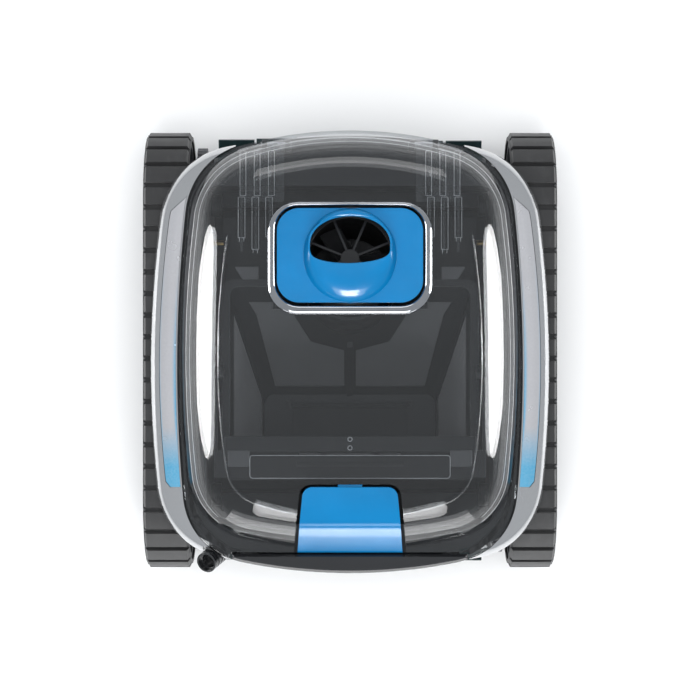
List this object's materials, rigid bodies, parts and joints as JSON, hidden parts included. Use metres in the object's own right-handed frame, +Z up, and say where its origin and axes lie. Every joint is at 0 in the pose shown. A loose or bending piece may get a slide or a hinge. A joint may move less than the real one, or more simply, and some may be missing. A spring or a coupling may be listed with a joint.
{
  "type": "robotic pool cleaner",
  "caption": "Tracked pool-cleaning robot with a clear domed lid, lift-out filter basket, tilted propeller outlet, rubber belts and rotating brushes.",
  "frame": {"origin": "on the ground, midway between the outer faces of the belts and midway along them", "axes": "+X to the machine's right seen from above with the hinge side away, +Y towards the lid's hinge, +Z up"},
  "size_m": [0.418, 0.45, 0.2395],
  "materials": {
    "body_black": "fine moulded grain",
    "fairing_silver": "glossy metallic silver lacquer",
    "accent_blue": "pearl over sky blue",
    "cowl_blue": "glossy blue moulding",
    "belt_rubber": "matt rubber",
    "wheel_plastic": "grey moulding",
    "steel": "stainless",
    "pinion_metal": "brass",
    "handle_black": "polished",
    "dark_plastic": "moulded",
    "motor_can": "drawn can",
    "board_green": "solder mask",
    "mesh_fabric": "fine woven mesh",
    "smoked_clear": "smoke tinted, polished"
  },
  "bodies": {
    "chassis": {"chassis_tub": "body_black", "bottom_plate": "body_black", "upper_frame": "body_black", "left_fairing": "fairing_silver", "right_fairing": "fairing_silver", "left_accent_strip": "accent_blue", "right_accent_strip": "accent_blue", "left_side_cover": "body_black", "right_side_cover": "body_black", "left_belt": "belt_rubber", "right_belt": "belt_rubber", "wheel_axles": "steel", "roller_pins": "steel", "cover_screws": "steel", "carry_handle": "handle_black", "rear_bridge": "body_black", "hinge_pins": "steel", "cable_socket": "dark_plastic", "socket_contacts": "pinion_metal", "motor_case": "body_black", "motor_seal": "belt_rubber", "motor_cover": "dark_plastic", "pump_motor": "motor_can", "drive_motors": "motor_can", "control_board": "board_green", "pump_duct": "dark_plastic", "outlet_guard": "dark_plastic", "outlet_cowl": "cowl_blue", "latch_pin": "steel", "latch_spring": "steel"},
    "lid": {"lid_shell": "smoked_clear", "lid_seal": "belt_rubber", "outlet_collar": "handle_black", "lid_hinge_arms": "smoked_clear"},
    "latch": {"latch_button": "cowl_blue"},
    "filter": {"filter_frame": "dark_plastic", "filter_mesh": "mesh_fabric"},
    "filter_bail": {"filter_handle": "dark_plastic"},
    "flap": {"inlet_flap": "belt_rubber"},
    "impeller": {"propeller": "dark_plastic", "propeller_shaft": "steel", "propeller_nut": "steel"},
    "left_rear_wheel_body": {"left_rear_wheel": "wheel_plastic"},
    "left_front_wheel_body": {"left_front_wheel": "wheel_plastic"},
    "left_roller_body": {"left_roller": "wheel_plastic"},
    "left_pinion_body": {"left_pinion": "pinion_metal"},
    "right_rear_wheel_body": {"right_rear_wheel": "wheel_plastic"},
    "right_front_wheel_body": {"right_front_wheel": "wheel_plastic"},
    "right_roller_body": {"right_roller": "wheel_plastic"},
    "right_pinion_body": {"right_pinion": "pinion_metal"},
    "rear_brush": {"rear_brush_core": "wheel_plastic", "rear_brush_blades": "belt_rubber"},
    "front_brush": {"front_brush_core": "wheel_plastic", "front_brush_blades": "belt_rubber"}
  },
  "joints": [
    {"name": "lid_hinge", "type": "hinge", "parent": "chassis", "child": "lid", "pos_m": [0, 0.2065, 0.158], "axis": [-1, 0, 0], "range_deg": [0, 100]},
    {"name": "latch_press", "type": "hinge", "parent": "chassis", "child": "latch", "pos_m": [0, -0.186, 0.182], "axis": [1, 0, 0], "range_deg": [0, 8], "stiffness_Nm_per_rad": 0.5, "springref_deg": -8.59},
    {"name": "filter_lift", "type": "slide", "parent": "chassis", "child": "filter", "axis": [0, 0, 1], "range_m": [0, 0.13]},
    {"name": "filter_handle_swing", "type": "hinge", "parent": "filter", "child": "filter_bail", "pos_m": [0, -0.022, 0.192], "axis": [-1, 0, 0], "range_deg": [0, 90]},
    {"name": "inlet_flap_hinge", "type": "hinge", "parent": "filter", "child": "flap", "pos_m": [0, -0.0575, 0.048], "axis": [-1, 0, 0], "range_deg": [0, 70]},
    {"name": "propeller_spin", "type": "hinge", "parent": "chassis", "child": "impeller", "pos_m": [0, 0.08313, 0.17999], "axis": [0, 0.2079, 0.9781], "continuous": true},
    {"name": "left_drive", "type": "hinge", "parent": "chassis", "child": "left_rear_wheel_body", "pos_m": [-0.175, 0.15, 0.075], "axis": [1, 0, 0], "continuous": true},
    {"name": "left_front_idle", "type": "hinge", "parent": "chassis", "child": "left_front_wheel_body", "pos_m": [-0.175, -0.15, 0.075], "axis": [1, 0, 0], "continuous": true},
    {"name": "left_roller_spin", "type": "hinge", "parent": "chassis", "child": "left_roller_body", "pos_m": [-0.185, -0.006, 0.0223], "axis": [1, 0, 0], "continuous": true},
    {"name": "left_motor_spin", "type": "hinge", "parent": "chassis", "child": "left_pinion_body", "pos_m": [-0.15, 0.11266, 0.04366], "axis": [1, 0, 0], "continuous": true},
    {"name": "right_drive", "type": "hinge", "parent": "chassis", "child": "right_rear_wheel_body", "pos_m": [0.175, 0.15, 0.075], "axis": [1, 0, 0], "continuous": true},
    {"name": "right_front_idle", "type": "hinge", "parent": "chassis", "child": "right_front_wheel_body", "pos_m": [0.175, -0.15, 0.075], "axis": [1, 0, 0], "continuous": true},
    {"name": "right_roller_spin", "type": "hinge", "parent": "chassis", "child": "right_roller_body", "pos_m": [0.185, -0.006, 0.0223], "axis": [1, 0, 0], "continuous": true},
    {"name": "right_motor_spin", "type": "hinge", "parent": "chassis", "child": "right_pinion_body", "pos_m": [0.15, 0.11266, 0.04366], "axis": [1, 0, 0], "continuous": true},
    {"name": "rear_brush_spin", "type": "hinge", "parent": "chassis", "child": "rear_brush", "pos_m": [0, 0.1919, 0.0331], "axis": [1, 0, 0], "continuous": true},
    {"name": "front_brush_spin", "type": "hinge", "parent": "chassis", "child": "front_brush", "pos_m": [0, -0.1919, 0.0331], "axis": [1, 0, 0], "continuous": true}
  ],
  "couplings": [
    {"joint": "filter_lift", "follows": "lid_hinge", "m_per_rad": 0.072},
    {"joint": "filter_handle_swing", "follows": "lid_hinge", "ratio": 0.88},
    {"joint": "left_front_idle", "follows": "left_drive", "ratio": 1},
    {"joint": "left_roller_spin", "follows": "left_drive", "ratio": 4.7857},
    {"joint": "left_motor_spin", "follows": "left_drive", "ratio": -4.4167},
    {"joint": "right_front_idle", "follows": "right_drive", "ratio": 1},
    {"joint": "right_roller_spin", "follows": "right_drive", "ratio": 4.7857},
    {"joint": "right_motor_spin", "follows": "right_drive", "ratio": -4.4167},
    {"joint": "rear_brush_spin", "follows": "left_drive", "ratio": -2.0385},
    {"joint": "front_brush_spin", "follows": "right_drive", "ratio": -2.0385}
  ]
}
